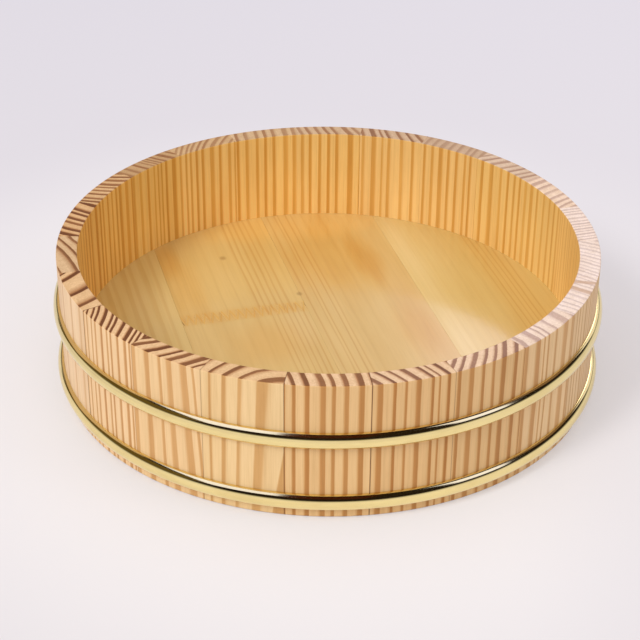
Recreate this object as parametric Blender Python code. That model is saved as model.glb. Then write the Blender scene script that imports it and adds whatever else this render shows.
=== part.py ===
"""A sushi rice tub: staves in a ring, a board bottom let into their groove, two half-oval brass hoops.

Lengths are in metres. The tub stands on Z = 0 with its axis on Z. Angles round the tub are counted
from the front, which faces -Y, towards +X. The frame of the bottom's boards is turned a little from X and Y.
"""

from math import asin, atan2, cos, hypot, pi, radians, sin, sqrt

import bmesh
import bpy
from mathutils import Matrix, Vector

# The ring of staves
OUTER_RADIUS = 0.150
HEIGHT = 0.0785
WALL_THICKNESS = 0.0115
STAVE_COUNT = 22
FIRST_JOINT_ANGLE = radians(-7.9)
FACETS_PER_STAVE = 4
RIM_CHAMFER = 0.0006
FOOT_CHAMFER = 0.0008

# The bottom, and the groove that holds its edge
FLOOR_HEIGHT = 0.0229
BOARD_THICKNESS = 0.0110
TONGUE_THICKNESS = 0.0060
GROOVE_DEPTH = 0.0030
BOARD_TURN = radians(15.5)
BOARD_JOINTS = (-0.0802, -0.0067, 0.0631)
FINGER_JOINTED_BOARD_NUMBER = 2

# The finger joint across the second board
FINGER_COUNT = 15
FINGER_LENGTH = 0.0100
FINGER_TIP = 0.0009
FINGER_JOINT_PLACE = 0.0235

# The hoops
HOOP_WIDTH = 0.0092
HOOP_THICKNESS = 0.0035
HOOP_ARC_STEPS = 8
UPPER_HOOP_HEIGHT = 0.0467
LOWER_HOOP_HEIGHT = 0.0096

# The bamboo pegs
PEG_RADIUS = 0.0015
PEG_LENGTH = 0.0180
PEG_POINT = 0.0005
PEG_SIDES = 8
BOARD_PEG_INSET = 0.0400

# Clearances between neighbours
JOINT_GAP = 0.0003
SEAT_CLEARANCE = 0.0003
PEG_CLEARANCE = 0.0002
PEG_END_CLEARANCE = 0.0005

# Colours as (red, green, blue), with roughness and metallic value
STAVE_FINISH = ((0.72, 0.46, 0.24), 0.55, 0.0)
BOARD_FINISH = ((0.74, 0.50, 0.22), 0.35, 0.0)
BAMBOO_FINISH = ((0.70, 0.58, 0.32), 0.60, 0.0)
BRASS_FINISH = ((0.86, 0.68, 0.28), 0.18, 1.0)

STAVE_ANGLE = 2 * pi / STAVE_COUNT
RING_STEPS = STAVE_COUNT * FACETS_PER_STAVE
FLAT_RATIO = cos(pi / RING_STEPS)  # how far a facet's middle lies from the axis, as a share of its ends
INNER_RADIUS = OUTER_RADIUS - WALL_THICKNESS
GROOVE_RADIUS = INNER_RADIUS + GROOVE_DEPTH
WALL_MIDDLE = (INNER_RADIUS + OUTER_RADIUS) / 2
BOARD_UNDERSIDE = FLOOR_HEIGHT - BOARD_THICKNESS
TONGUE_UNDERSIDE = FLOOR_HEIGHT - TONGUE_THICKNESS
BOARD_RADIUS = GROOVE_RADIUS * FLAT_RATIO - SEAT_CLEARANCE
BOARD_LOWER_RADIUS = INNER_RADIUS * FLAT_RATIO - SEAT_CLEARANCE
BOARD_MIDDLE = FLOOR_HEIGHT - BOARD_THICKNESS / 2
STAVE_PEG_HEIGHT = (FLOOR_HEIGHT + HEIGHT) / 2
HOLE_RADIUS = (PEG_RADIUS + PEG_CLEARANCE) / cos(pi / PEG_SIDES)
HOLE_LENGTH = PEG_LENGTH + 2 * PEG_END_CLEARANCE
SMOOTH_ANGLE = radians(30)


def clear_scene():
    for obj in list(bpy.data.objects):
        bpy.data.objects.remove(obj, do_unlink=True)


def finish(name, looks):
    """A material with one colour, roughness and metallic value."""
    colour, roughness, metallic = looks
    material = bpy.data.materials.new(name)
    material.use_nodes = True
    shader = material.node_tree.nodes["Principled BSDF"]
    shader.inputs["Base Color"].default_value = (*colour, 1.0)
    shader.inputs["Roughness"].default_value = roughness
    shader.inputs["Metallic"].default_value = metallic
    return material


def mesh_from(bm, name):
    """Turns the working mesh into a mesh datablock, with its faces pointing out."""
    bmesh.ops.recalc_face_normals(bm, faces=bm.faces)
    mesh = bpy.data.meshes.new(name)
    bm.to_mesh(mesh)
    bm.free()
    mesh.shade_smooth()
    mesh.set_sharp_from_angle(angle=SMOOTH_ANGLE)
    return mesh


def place(name, mesh, looks, parent):
    """An object of this mesh with a material of its own, held by the parent."""
    obj = bpy.data.objects.new(name, mesh)
    bpy.context.scene.collection.objects.link(obj)
    if not mesh.materials:
        mesh.materials.append(None)
    obj.material_slots[0].link = "OBJECT"
    obj.material_slots[0].material = finish(name + "_finish", looks)
    obj.parent = parent
    return obj


def helper(name, mesh):
    """A cutter, which takes part in Booleans and isn't a piece of the tub."""
    obj = bpy.data.objects.new(name, mesh)
    bpy.context.scene.collection.objects.link(obj)
    obj.hide_render = True
    obj.display_type = "WIRE"
    return obj


def cut(obj, cutter):
    modifier = obj.modifiers.new("cut_by_" + cutter.name, "BOOLEAN")
    modifier.operation = "DIFFERENCE"
    modifier.object = cutter


def around(radius, angle, height):
    """A point at this radius and height, at an angle from the front."""
    return Vector((radius * sin(angle), -radius * cos(angle), height))


def outline_edges(bm, outline, angle):
    """The closed outline of (radius, height) points, as edges in the half plane at this angle."""
    corners = [bm.verts.new(around(radius, angle, height)) for radius, height in outline]
    return [bm.edges.new((a, b)) for a, b in zip(corners, corners[1:] + corners[:1])]


def sector_mesh(name, outline, half_angle, steps):
    """The outline turned about Z from minus to plus half_angle, closed at both ends."""
    bm = bmesh.new()
    edges = outline_edges(bm, outline, -half_angle)
    end = bmesh.ops.contextual_create(bm, geom=edges)["faces"]
    bmesh.ops.spin(
        bm, geom=edges + end, axis=(0, 0, 1), cent=(0, 0, 0), angle=2 * half_angle, steps=steps
    )
    return mesh_from(bm, name)


def ring_mesh(name, outline, start_angle, steps):
    """The outline turned once round Z."""
    bm = bmesh.new()
    edges = outline_edges(bm, outline, start_angle)
    bmesh.ops.spin(bm, geom=edges, axis=(0, 0, 1), cent=(0, 0, 0), angle=2 * pi, steps=steps)
    bmesh.ops.remove_doubles(bm, verts=bm.verts, dist=1e-6)
    return mesh_from(bm, name)


def stacked_circles(bm, levels, steps):
    """A solid through circles given as (radius, height), flat at its two ends."""
    rings = [
        [bm.verts.new(around(radius, 2 * pi * k / steps, height)) for k in range(steps)]
        for radius, height in levels
    ]
    for low, high in zip(rings, rings[1:]):
        for k in range(steps):
            after = (k + 1) % steps
            bm.faces.new((low[k], low[after], high[after], high[k]))
    bm.faces.new(rings[0])
    bm.faces.new(rings[-1])


def stave_mesh():
    """One stave with its centre at the front: a sector of the wall with its groove and peg holes."""
    groove_top = FLOOR_HEIGHT + SEAT_CLEARANCE
    groove_bottom = TONGUE_UNDERSIDE - SEAT_CLEARANCE
    outline = [
        (OUTER_RADIUS - FOOT_CHAMFER, 0),
        (OUTER_RADIUS, FOOT_CHAMFER),
        (OUTER_RADIUS, HEIGHT - RIM_CHAMFER),
        (OUTER_RADIUS - RIM_CHAMFER, HEIGHT),
        (INNER_RADIUS + RIM_CHAMFER, HEIGHT),
        (INNER_RADIUS, HEIGHT - RIM_CHAMFER),
        (INNER_RADIUS, groove_top),
        (GROOVE_RADIUS, groove_top),
        (GROOVE_RADIUS, groove_bottom),
        (INNER_RADIUS, groove_bottom),
        (INNER_RADIUS, FOOT_CHAMFER),
        (INNER_RADIUS + FOOT_CHAMFER, 0),
    ]
    half_angle = STAVE_ANGLE / 2 - asin(JOINT_GAP / 2 / INNER_RADIUS)
    template = helper("stave_template", sector_mesh("stave_plain", outline, half_angle, FACETS_PER_STAVE))
    hole = peg_hole_mesh("stave_hole")
    helpers = [template]
    for side in (-1, 1):
        cutter = helper("stave_hole_cutter", hole)
        cutter.matrix_world = across_joint(side * STAVE_ANGLE / 2)
        cut(template, cutter)
        helpers.append(cutter)
    bpy.context.view_layer.update()
    graph = bpy.context.evaluated_depsgraph_get()
    mesh = bpy.data.meshes.new_from_object(template.evaluated_get(graph))
    mesh.name = "stave"
    for obj in helpers:
        bpy.data.objects.remove(obj, do_unlink=True)
    return mesh


def across_joint(angle):
    """Where a peg lies that crosses the stave joint at this angle: its length runs across the joint."""
    return Matrix.Translation(around(WALL_MIDDLE, angle, STAVE_PEG_HEIGHT)) @ Matrix.Rotation(angle, 4, "Z")


def lying_prism(name, levels):
    """A faceted round body through (radius, place) levels, lying along X."""
    bm = bmesh.new()
    stacked_circles(bm, levels, PEG_SIDES)
    bm.transform(Matrix.Rotation(pi / PEG_SIDES, 4, "Z"))
    bm.transform(Matrix.Rotation(pi / 2, 4, "Y"))
    return mesh_from(bm, name)


def peg_mesh():
    """A whittled peg with its ends drawn in."""
    end = PEG_LENGTH / 2
    levels = [
        (PEG_RADIUS - PEG_POINT, -end),
        (PEG_RADIUS, PEG_POINT - end),
        (PEG_RADIUS, end - PEG_POINT),
        (PEG_RADIUS - PEG_POINT, end),
    ]
    return lying_prism("bamboo_peg", levels)


def peg_hole_mesh(name):
    """The space that a peg needs on both sides of its joint."""
    return lying_prism(name, [(HOLE_RADIUS, -HOLE_LENGTH / 2), (HOLE_RADIUS, HOLE_LENGTH / 2)])


def board_frame(across, along, height):
    """A point of the bottom: across the boards to the right, along them to the far side."""
    return Matrix.Rotation(BOARD_TURN, 4, "Z") @ Vector((across, along, height))


def strip_mesh(name, left, right):
    """The part of the round bottom between two lines that run along the boards."""
    bm = bmesh.new()
    levels = [
        (BOARD_LOWER_RADIUS, BOARD_UNDERSIDE),
        (BOARD_LOWER_RADIUS, TONGUE_UNDERSIDE),
        (BOARD_RADIUS, TONGUE_UNDERSIDE),
        (BOARD_RADIUS, FLOOR_HEIGHT),
    ]
    stacked_circles(bm, levels, RING_STEPS)
    for edge, outward in ((left, -1), (right, 1)):
        if edge is not None:
            cut_off(bm, edge - outward * JOINT_GAP / 2, outward)
    return mesh_from(bm, name)


def cut_off(bm, edge, outward):
    """Removes what lies past a line along the boards, and closes the cut."""
    normal = board_frame(outward, 0, 0)
    found = bmesh.ops.bisect_plane(
        bm,
        geom=bm.verts[:] + bm.edges[:] + bm.faces[:],
        plane_co=board_frame(edge, 0, 0),
        plane_no=normal,
        clear_outer=True,
    )
    rim = [item for item in found["geom_cut"] if isinstance(item, bmesh.types.BMEdge)]
    bmesh.ops.contextual_create(bm, geom=rim)


def finger_path():
    """The zigzag of the finger joint, as (across, along) points from past one edge to past the other."""
    left, right = BOARD_JOINTS[FINGER_JOINTED_BOARD_NUMBER - 2 : FINGER_JOINTED_BOARD_NUMBER]
    half_pitch = (right - left) / (2 * FINGER_COUNT)
    near = FINGER_JOINT_PLACE - FINGER_LENGTH / 2
    far = FINGER_JOINT_PLACE + FINGER_LENGTH / 2
    points = []
    for k in range(-1, 2 * FINGER_COUNT + 2):
        middle = left + (k + 0.5) * half_pitch
        along = far if k % 2 else near
        points += [(middle - FINGER_TIP / 2, along), (middle + FINGER_TIP / 2, along)]
    return points


def moved_aside(path, distance):
    """The path shifted to its left by this distance, square to each stretch."""
    lines = []
    for (ax, ay), (bx, by) in zip(path, path[1:]):
        run = atan2(by - ay, bx - ax)
        lines.append((Vector((ax - distance * sin(run), ay + distance * cos(run))), run))
    moved = [lines[0][0]]
    for (first, run), (second, turned) in zip(lines, lines[1:]):
        between = second - first
        reach = (between.x * sin(turned) - between.y * cos(turned)) / sin(turned - run)
        moved.append(first + reach * Vector((cos(run), sin(run))))
    end, run = lines[-1]
    length = hypot(path[-1][0] - path[-2][0], path[-1][1] - path[-2][1])
    moved.append(end + length * Vector((cos(run), sin(run))))
    return moved


def finger_cutter(name, shift, far_side):
    """Everything of the bottom on one side of the finger joint, as a block."""
    reach = 2 * OUTER_RADIUS if far_side else -2 * OUTER_RADIUS
    path = [tuple(point) for point in moved_aside(finger_path(), shift)]
    corners = path + [(path[-1][0], reach), (path[0][0], reach)]
    bm = bmesh.new()
    low = [bm.verts.new(board_frame(across, along, -HEIGHT)) for across, along in corners]
    face = bm.faces.new(low)
    up = bmesh.ops.extrude_face_region(bm, geom=[face])["geom"]
    top = [item for item in up if isinstance(item, bmesh.types.BMVert)]
    bmesh.ops.translate(bm, verts=top, vec=(0, 0, 2 * HEIGHT))
    return helper(name, mesh_from(bm, name))


def board_peg_place(joint, along):
    """Where a peg lies that crosses a long joint of the bottom."""
    return Matrix.Translation(board_frame(joint, along, BOARD_MIDDLE)) @ Matrix.Rotation(BOARD_TURN, 4, "Z")


def hoop_outline(height):
    """Half-oval bar with its flat side on the staves."""
    seat = (OUTER_RADIUS + SEAT_CLEARANCE) / FLAT_RATIO
    turns = [-pi / 2 + pi * k / HOOP_ARC_STEPS for k in range(HOOP_ARC_STEPS + 1)]
    return [
        (seat + HOOP_THICKNESS * cos(turn), height + HOOP_WIDTH / 2 * sin(turn))
        for turn in turns
    ]


def make_staves(tub):
    mesh = stave_mesh()
    for k in range(STAVE_COUNT):
        stave = place(f"stave_{k + 1:02d}", mesh, STAVE_FINISH, tub)
        stave.rotation_euler.z = FIRST_JOINT_ANGLE + (k + 0.5) * STAVE_ANGLE


def make_stave_pegs(tub, peg):
    for k in range(STAVE_COUNT):
        obj = place(f"stave_peg_{k + 1:02d}", peg, BAMBOO_FINISH, tub)
        obj.matrix_world = across_joint(FIRST_JOINT_ANGLE + k * STAVE_ANGLE)


def make_board_pegs(tub, peg):
    """The pegs across the bottom's long joints. Returns the cutters of their holes by joint."""
    hole = peg_hole_mesh("board_hole")
    cutters = {}
    for number, joint in enumerate(BOARD_JOINTS, 1):
        reach = sqrt(BOARD_RADIUS**2 - joint**2) - BOARD_PEG_INSET
        for letter, along in (("a", -reach), ("b", reach)):
            label = f"{number}{letter}"
            board_peg = place("board_peg_" + label, peg, BAMBOO_FINISH, tub)
            board_peg.matrix_world = board_peg_place(joint, along)
            cutter = helper("board_hole_cutter_" + label, hole)
            cutter.matrix_world = board_peg_place(joint, along)
            cutters.setdefault(joint, []).append(cutter)
    return cutters


def make_bottom(tub, peg):
    cutters = make_board_pegs(tub, peg)
    ends = {
        "_far": finger_cutter("near_side_cutter", JOINT_GAP / 2, far_side=False),
        "_near": finger_cutter("far_side_cutter", -JOINT_GAP / 2, far_side=True),
    }
    edges = [None, *BOARD_JOINTS, None]
    for number, (left, right) in enumerate(zip(edges, edges[1:]), 1):
        name = f"bottom_board_{number}"
        for suffix, end_cutter in ends.items() if number == FINGER_JOINTED_BOARD_NUMBER else [("", None)]:
            board = place(name + suffix, strip_mesh(name + suffix, left, right), BOARD_FINISH, tub)
            if end_cutter:
                cut(board, end_cutter)
            for cutter in cutters.get(left, []) + cutters.get(right, []):
                cut(board, cutter)


def make_hoops(tub):
    for name, height in (("upper_hoop", UPPER_HOOP_HEIGHT), ("lower_hoop", LOWER_HOOP_HEIGHT)):
        mesh = ring_mesh(name, hoop_outline(height), FIRST_JOINT_ANGLE, RING_STEPS)
        place(name, mesh, BRASS_FINISH, tub)


def main():
    clear_scene()
    tub = bpy.data.objects.new("sushi_rice_tub", None)
    bpy.context.scene.collection.objects.link(tub)
    peg = peg_mesh()
    make_staves(tub)
    make_stave_pegs(tub, peg)
    make_bottom(tub, peg)
    make_hoops(tub)


main()
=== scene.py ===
"""The looks of a sushi rice tub: pine staves and boards, brass hoops, bamboo pegs, on a pale floor.

Lengths are in metres unless a name says otherwise. Angles round the tub are in degrees from the front,
which faces -Y, towards +X. Wood is described in millimetres, in each piece's own directions.
"""

from collections import namedtuple
from math import atan2, cos, hypot, pi, radians, sin
from random import Random

import bmesh
import bpy
from mathutils import Matrix, Vector


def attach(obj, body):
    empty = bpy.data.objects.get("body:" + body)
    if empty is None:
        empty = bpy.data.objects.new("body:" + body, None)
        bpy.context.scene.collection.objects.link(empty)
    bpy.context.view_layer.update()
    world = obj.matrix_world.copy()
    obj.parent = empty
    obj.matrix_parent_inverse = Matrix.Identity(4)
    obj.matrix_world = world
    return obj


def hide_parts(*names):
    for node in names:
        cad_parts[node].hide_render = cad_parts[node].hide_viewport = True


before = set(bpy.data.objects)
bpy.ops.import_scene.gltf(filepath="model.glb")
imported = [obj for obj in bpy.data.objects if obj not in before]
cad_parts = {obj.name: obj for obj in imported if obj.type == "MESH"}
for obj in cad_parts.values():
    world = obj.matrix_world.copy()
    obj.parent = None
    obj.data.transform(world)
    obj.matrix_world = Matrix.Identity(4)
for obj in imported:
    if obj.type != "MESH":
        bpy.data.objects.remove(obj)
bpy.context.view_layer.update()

# The tub's main sizes, as in the solids
OUTER_RADIUS = 0.150
HEIGHT = 0.0785
WALL_THICKNESS = 0.0115
STAVE_COUNT = 22
FIRST_JOINT_ANGLE = -7.9
FLOOR_HEIGHT = 0.0229
BOARD_THICKNESS = 0.0110
TONGUE_THICKNESS = 0.0060
GROOVE_DEPTH = 0.0030
BOARD_TURN = radians(15.5)
BOARD_JOINTS = (-0.0802, -0.0067, 0.0631)
FINGER_JOINTED_BOARD_NUMBER = 2
FINGER_COUNT = 15
FINGER_LENGTH = 0.0100
FINGER_TIP = 0.0009
FINGER_JOINT_PLACE = 0.0235
HOOP_WIDTH = 0.0092
HOOP_THICKNESS = 0.0035
UPPER_HOOP_HEIGHT = 0.0467
LOWER_HOOP_HEIGHT = 0.0096

INNER_RADIUS = OUTER_RADIUS - WALL_THICKNESS
GROOVE_RADIUS = INNER_RADIUS + GROOVE_DEPTH
TONGUE_UNDERSIDE = FLOOR_HEIGHT - TONGUE_THICKNESS
STAVE_ANGLE = 360 / STAVE_COUNT
MM = 1000
HALF_STAVE = OUTER_RADIUS * MM * radians(STAVE_ANGLE) / 2

# Roundings and fits that the eye can see
RIM_ROUNDING = 0.0005
FOOT_ROUNDING = 0.0008
JOINT_ROUNDING = 0.00008
EDGE_STRIP = 0.00015
JOINT_GAP = 0.00004
BOARD_ROUNDING = 0.00005
BOARD_GAP = 0.00004
GLUE_GAP = 0.00026
GLUE_CLEARANCE = 0.00001
HOOP_SEAT = 0.00005
FLOOR_CLEARANCE = 0.0002
STAVE_STEPS = 14
RING_STEPS = STAVE_COUNT * STAVE_STEPS
HOOP_ARC_STEPS = 24

CAMERA_PLACE = (0.0, -0.8248, 0.5191)
CAMERA_AIM = (-0.0042, -0.0156, 0.0350)
CAMERA_ROLL = radians(0.495)
CAMERA_LENS = 94.63
CAMERA_SENSOR = 36

# Soft boxes: name, azimuth, elevation, roll, distance, width, height and brightness
LAMPS = [
    ("left_lamp", -48, 45, 30, 8.0, 2.0, 3.0, 14.5),
    ("right_lamp", 79, 44, -21, 8.0, 2.2, 3.0, 1.5),
]

# What polished surfaces see of the studio, each patch in front of those before it: azimuth, elevation and
# roll, half width and half height as shares of the distance, and colour
PATCHES = [
    (-93, 30, 0, 0.72, 0.30, (0.12, 0.082, 0.024)),
    (180, 30, 0, 0.55, 0.40, (0.24, 0.22, 0.22)),
    (0, 58, 0, 0.25, 0.35, (0.045, 0.008, 0.001)),
    (-116, 11, 27, 0.34, 0.09, (0.12, 0.08, 0.02)),
    (-139, 37, 0, 0.43, 0.34, (0.62, 0.44, 0.31)),
    (128, 45, 0, 0.30, 0.20, (0.22, 0.13, 0.08)),
    (-66, 64, 52, 0.24, 0.50, (1.05, 1.10, 1.75)),
    (73, 44, -21, 0.19, 0.29, (1.05, 1.10, 1.75)),
    (153, 24, 0, 0.40, 0.17, (0.92, 0.88, 0.98)),
    (166, 37, 0, 0.14, 0.13, (3.2, 3.1, 3.4)),
]
PATCH_BLUR = 0.03
PALE_WALL = (0.90, 0.87, 0.88)
DARK_WALL = (0.014, 0.008, 0.004)
LIGHT_BEHIND = (0.38, 0.37, 0.39)
LIGHT_IN_FRONT = (0.60, 0.58, 0.59)
LIGHT_ABOVE = (0.97, 0.94, 0.95)

# The paper on the floor, and how much of it the lamps don't change, as seen and as mirrored by the hoops
PAPER_HALF_SIDE = 4.0
# The paper is painted darker and cooler far away, a painted fall-off of the light
PAPER_NEAR = (0.85, 0.817, 0.845)
PAPER_FAR = (0.82, 0.795, 0.865)
# A painted pool of bounced light on the paper by the tub
PAPER_PAINTED_GLOW = (1.17, 1.18, 1.14)
PAPER_IN_LAMPLIGHT = (0.80, 0.79, 0.78)
EVEN_SHARE = 0.35
MIRRORED_SHARE = 0.45

# How dark the wood is through one ring, on a face along the grain and on the end grain
FACE_RING = [
    (0.0, 0.5), (0.03, 0.05), (0.41, 0.0), (0.50, 0.32), (0.58, 0.85), (0.70, 1.0), (0.97, 1.0), (1.0, 0.5),
]
END_RING = [
    (0.0, 0.5), (0.03, 0.1), (0.31, 0.05), (0.44, 0.35), (0.55, 0.92), (0.63, 1.0), (0.97, 1.0), (1.0, 0.5),
]

# Colours, from the pale wood of a ring to the dark
OUTSIDE_COLOURS = [(0.0, (0.82, 0.555, 0.275)), (0.5, (0.66, 0.365, 0.135)), (1.0, (0.46, 0.20, 0.050))]
# The inside's colours are warmer and brighter than the outside's, partly painted bounce light between the
# walls
INSIDE_COLOURS = [(0.0, (0.92, 0.60, 0.20)), (0.5, (0.80, 0.45, 0.11)), (1.0, (0.62, 0.285, 0.045))]
END_COLOURS = [(0.0, (0.81, 0.56, 0.33)), (0.5, (0.45, 0.215, 0.088)), (1.0, (0.165, 0.055, 0.014))]
# Painted sheen: the washed-out colours of end grain that catches glare, pale to dark
PAINTED_SHEEN_COLOURS = [(0.0, (0.87, 0.72, 0.63)), (1.0, (0.36, 0.22, 0.20))]
BOARD_COLOURS = [(0.0, (0.66, 0.45, 0.160)), (0.5, (0.60, 0.37, 0.112)), (1.0, (0.49, 0.27, 0.063))]
STREAK_COLOUR = (0.56, 0.36, 0.24)
SEAM_COLOUR = (0.16, 0.06, 0.02)

# Colours from the low to the high places of a cloudy pattern
GLUE_COLOURS = [(0.3, (0.58, 0.33, 0.08)), (0.7, (0.70, 0.43, 0.13))]
BRASS_COLOURS = [(0.3, (0.86, 0.69, 0.31)), (0.55, (0.93, 0.77, 0.36)), (0.75, (0.95, 0.79, 0.38))]
BAMBOO_COLOURS = [(0.3, (0.55, 0.40, 0.18)), (0.6, (0.74, 0.60, 0.33)), (0.8, (0.82, 0.70, 0.42))]

# Tints of fibres, slow blotches and saw marks
PLAIN = (1.0, 1.0, 1.0)
STAVE_FIBRES = [(0.30, (0.90, 0.87, 0.82)), (0.5, PLAIN), (0.70, (1.06, 1.07, 1.10))]
STAVE_BLOTCHES = [(0.3, (0.94, 0.91, 0.87)), (0.55, PLAIN), (0.75, (1.03, 1.03, 1.05))]
BOARD_FIBRES = [(0.30, (0.95, 0.93, 0.90)), (0.5, PLAIN), (0.70, (1.03, 1.03, 1.05))]
BOARD_BLOTCHES = [(0.3, (0.95, 0.92, 0.86)), (0.55, PLAIN), (0.75, (1.02, 1.03, 1.08))]
SAW_MARKS = [(0.3, (0.88, 0.85, 0.82)), (0.5, PLAIN), (0.7, (1.06, 1.07, 1.09))]

# How rough each surface is at the low and high places of its pattern, and how deep its relief is
STAVE_ROUGHNESS = (0.50, 0.66)
BOARD_ROUGHNESS = (0.42, 0.55)
GLUE_ROUGHNESS = (0.25, 0.45)
BRASS_ROUGHNESS = (0.07, 0.14)
BAMBOO_ROUGHNESS = (0.5, 0.7)
STAVE_RELIEF = 0.00006
BOARD_RELIEF = 0.00003
GLUE_RELIEF = 0.00002
BRASS_RELIEF = 0.000004
BAMBOO_RELIEF = 0.00003
NOISE_RANGE = (0.2, 0.8)

# Waves of the wood's patterns per millimetre, across the grain and along it
BENDS = (0.08, 0.012)
RAGGED_EDGES = (0.9, 0.06)
FINE_FIBRES = (1.6, 0.05)
BROAD_FIBRES = (0.45, 0.006)

# Waves of the other patterns per metre: level, and upright where that differs
GLUE_CLOUDS = 900.0
BRASS_LINES = (25, 3000)
BRASS_CLOUDS = (45, 160)
BAMBOO_STRANDS = (60, 2500)

# How far the rings of a stave and of a board go on past the lines that are given, in millimetres
STAVE_REACH = 45
BOARD_REACH = 30

# How ragged the rings' edges are, in millimetres, and how much more so where a painted sheen pales the
# end grain
FRAY = 0.16
PAINTED_SHEEN_FRAY = 0.25

# Growth rings of one stave. wall is the wall on which the lines' places are given. slant is how far the
# rings turn from square to the wall with their outer end to the right, and pith is how far off their centre
# lies in millimetres, to the left if positive. bands and widths are the dark lines' angles and breadths in
# degrees. face and end are the contrast on the faces and on the rim. lean is how far a line in the middle
# moves to the right per millimetre of height, twice as far at the right edge and not at all at the left.
# waver is how far the rings bend, in millimetres.
Growth = namedtuple(
    "Growth", "wall slant pith bands widths face end lean waver", defaults=(1.0, 1.0, 0.0, 0.35)
)

STAVES = [
    Growth("outer", 12, 90, (-6.1, -3.6, -0.7, 1.3, 3.7, 6.5), (0.7, 0.9, 1.1, 0.7, 0.9, 1.1)),
    Growth("outer", 26, 110, (9.9, 12.7, 14.9, 17.3, 20.1, 21.5, 23.4), (1.1, 0.6, 0.5, 1.0, 0.6, 0.3, 0.7)),
    Growth(
        "outer", -42, 110, (25.5, 28.2, 30.9, 33.3, 35.6, 38.8, 41.4),
        (0.7, 1.2, 0.7, 0.7, 1.2, 1.0, 1.0),
    ),
    Growth(
        "outer", -12, 90, (41.6, 44.9, 47.0, 48.4, 50.9, 54.4),
        (0.9, 1.4, 0.4, 0.4, 0.6, 1.8), face=0.75, end=0.6, waver=1.4,
    ),
    Growth(
        "outer", -10, 90, (57.9, 59.6, 61.0, 62.7, 64.6, 66.1, 67.5, 69.0, 70.5, 71.9, 73.0),
        (0.5, 0.3, 0.4, 0.3, 0.7, 0.3, 0.6, 0.3, 0.6, 0.3, 0.5), face=0.75, end=0.45, waver=1.0,
    ),
    Growth(
        "outer", -20, 90, (74.8, 76.0, 77.4, 79.0, 80.3, 82.0, 83.4, 85.0, 86.5, 88.0),
        (0.4, 0.5, 0.3, 0.5, 0.3, 0.5, 0.3, 0.5, 0.3, 0.5), face=0.7, end=0.45, waver=1.0,
    ),
    Growth(
        "inner", 8, 90, (91.7, 93, 94.3, 95.5, 96.8, 98, 99.4, 101, 103, 104.3, 105.5),
        (0.3, 0.6, 0.3, 0.6, 0.3, 0.6, 0.4, 0.6, 0.6, 0.3, 0.6), face=0.6, end=0.55, waver=0.7,
    ),
    Growth(
        "inner", 15, 90, (107, 109.2, 111.7, 114.5, 117.5, 120),
        (0.8, 0.8, 0.8, 0.8, 0.8, 1.3), face=0.7, end=0.5,
    ),
    Growth(
        "inner", -18, -90, (124.7, 126.7, 129, 131.5, 134.7, 137.7),
        (0.8, 0.7, 0.8, 0.8, 1.3, 0.9), face=0.85, end=0.55,
    ),
    Growth(
        "inner", 5, 90, (141.4, 143, 145.6, 147.9, 150.1, 152.5, 154.7),
        (0.7, 0.7, 0.8, 0.8, 1.3, 0.8, 0.7), face=0.85, end=0.3,
    ),
    Growth(
        "inner", 28, 90, (158, 161, 164.4, 166.2, 168.4, 171.2),
        (0.8, 0.9, 0.8, 0.5, 1.3, 0.8), face=0.8, end=0.7,
    ),
    Growth(
        "inner", 20, 90, (174.5, 178, 180.2, 182.5, 185, 187, 188.8),
        (1.5, 0.8, 0.8, 0.8, 0.8, 0.8, 0.4), face=0.9, end=0.5,
    ),
    Growth(
        "inner", -6, 90, (191.4, 194.5, 196.7, 198.9, 201.7, 204.2),
        (1.3, 0.8, 0.8, 0.8, 0.9, 0.8), face=0.9, end=0.5,
    ),
    Growth(
        "inner", -42, 90, (206.5, 209.2, 211.5, 214.2, 216, 217.8, 219.2, 221),
        (0.8, 0.8, 1.3, 0.8, 0.7, 0.7, 0.6, 0.7), face=0.85, end=0.45,
    ),
    Growth(
        "inner", 14, 90, (223, 225.5, 227, 228.2, 229.5, 231.7, 234.5, 237),
        (1.3, 0.7, 0.5, 0.5, 0.5, 0.8, 0.9, 0.8), face=0.8, end=0.5,
    ),
    Growth(
        "inner", 18, 90, (240, 242.7, 244.5, 246.5, 248.5, 251),
        (1.3, 1.3, 0.7, 0.7, 0.7, 0.8), face=0.9, end=0.8,
    ),
    Growth(
        "inner", -20, 90, (255, 258.7, 260.5, 263, 265, 268),
        (1.3, 1.0, 0.9, 1.0, 0.9, 1.0), face=0.85, end=1.0,
    ),
    Growth(
        "outer", -68, -156, (-92.4, -89.0, -85.5, -76.0),
        (0.8, 0.7, 1.2, 1.2), face=0.5, end=0.9, waver=0.8,
    ),
    Growth("outer", 26, 90, (-72.3, -69.9, -63.6, -59.0), (0.3, 1.0, 0.8, 0.8), face=0.5, end=1.2),
    Growth(
        "outer", 41, 110, (-57.0, -55.5, -53.6, -52.2, -50.0, -48.0, -46.8, -44.7, -42.5, -41.2),
        (0.9, 0.5, 0.4, 0.5, 0.7, 0.5, 0.5, 0.6, 0.8, 0.4), face=0.9, end=1.5,
    ),
    Growth(
        "outer", -32, 70, (-40.3, -36.7, -33.6, -31.4, -28.1, -25.9),
        (1.2, 1.2, 0.7, 1.2, 1.6, 0.5), face=0.72, end=1.1, lean=-0.027, waver=1.0,
    ),
    Growth(
        "outer", -35.5, -28.1, (-22.3, -19.4, -16.3, -11.7),
        (0.5, 0.9, 0.7, 2.3), face=0.72, end=1.0, lean=0.04, waver=0.8,
    ),
]

# Dark wood that a stave's right joint cuts at a slant: the height of its tip, and its breadth per metre of
# height below the tip
TONGUES = {22: (0.040, 0.155)}
TONGUE_DARKNESS = 0.9

# Brown streaks across the rim of a stave: their angle on the outer edge, slant and half breadth in degrees
STREAKS = {5: ((67.3, 0.9, 0.75), (71.7, -0.8, 0.65))}
STREAK_STRENGTH = 0.75

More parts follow.
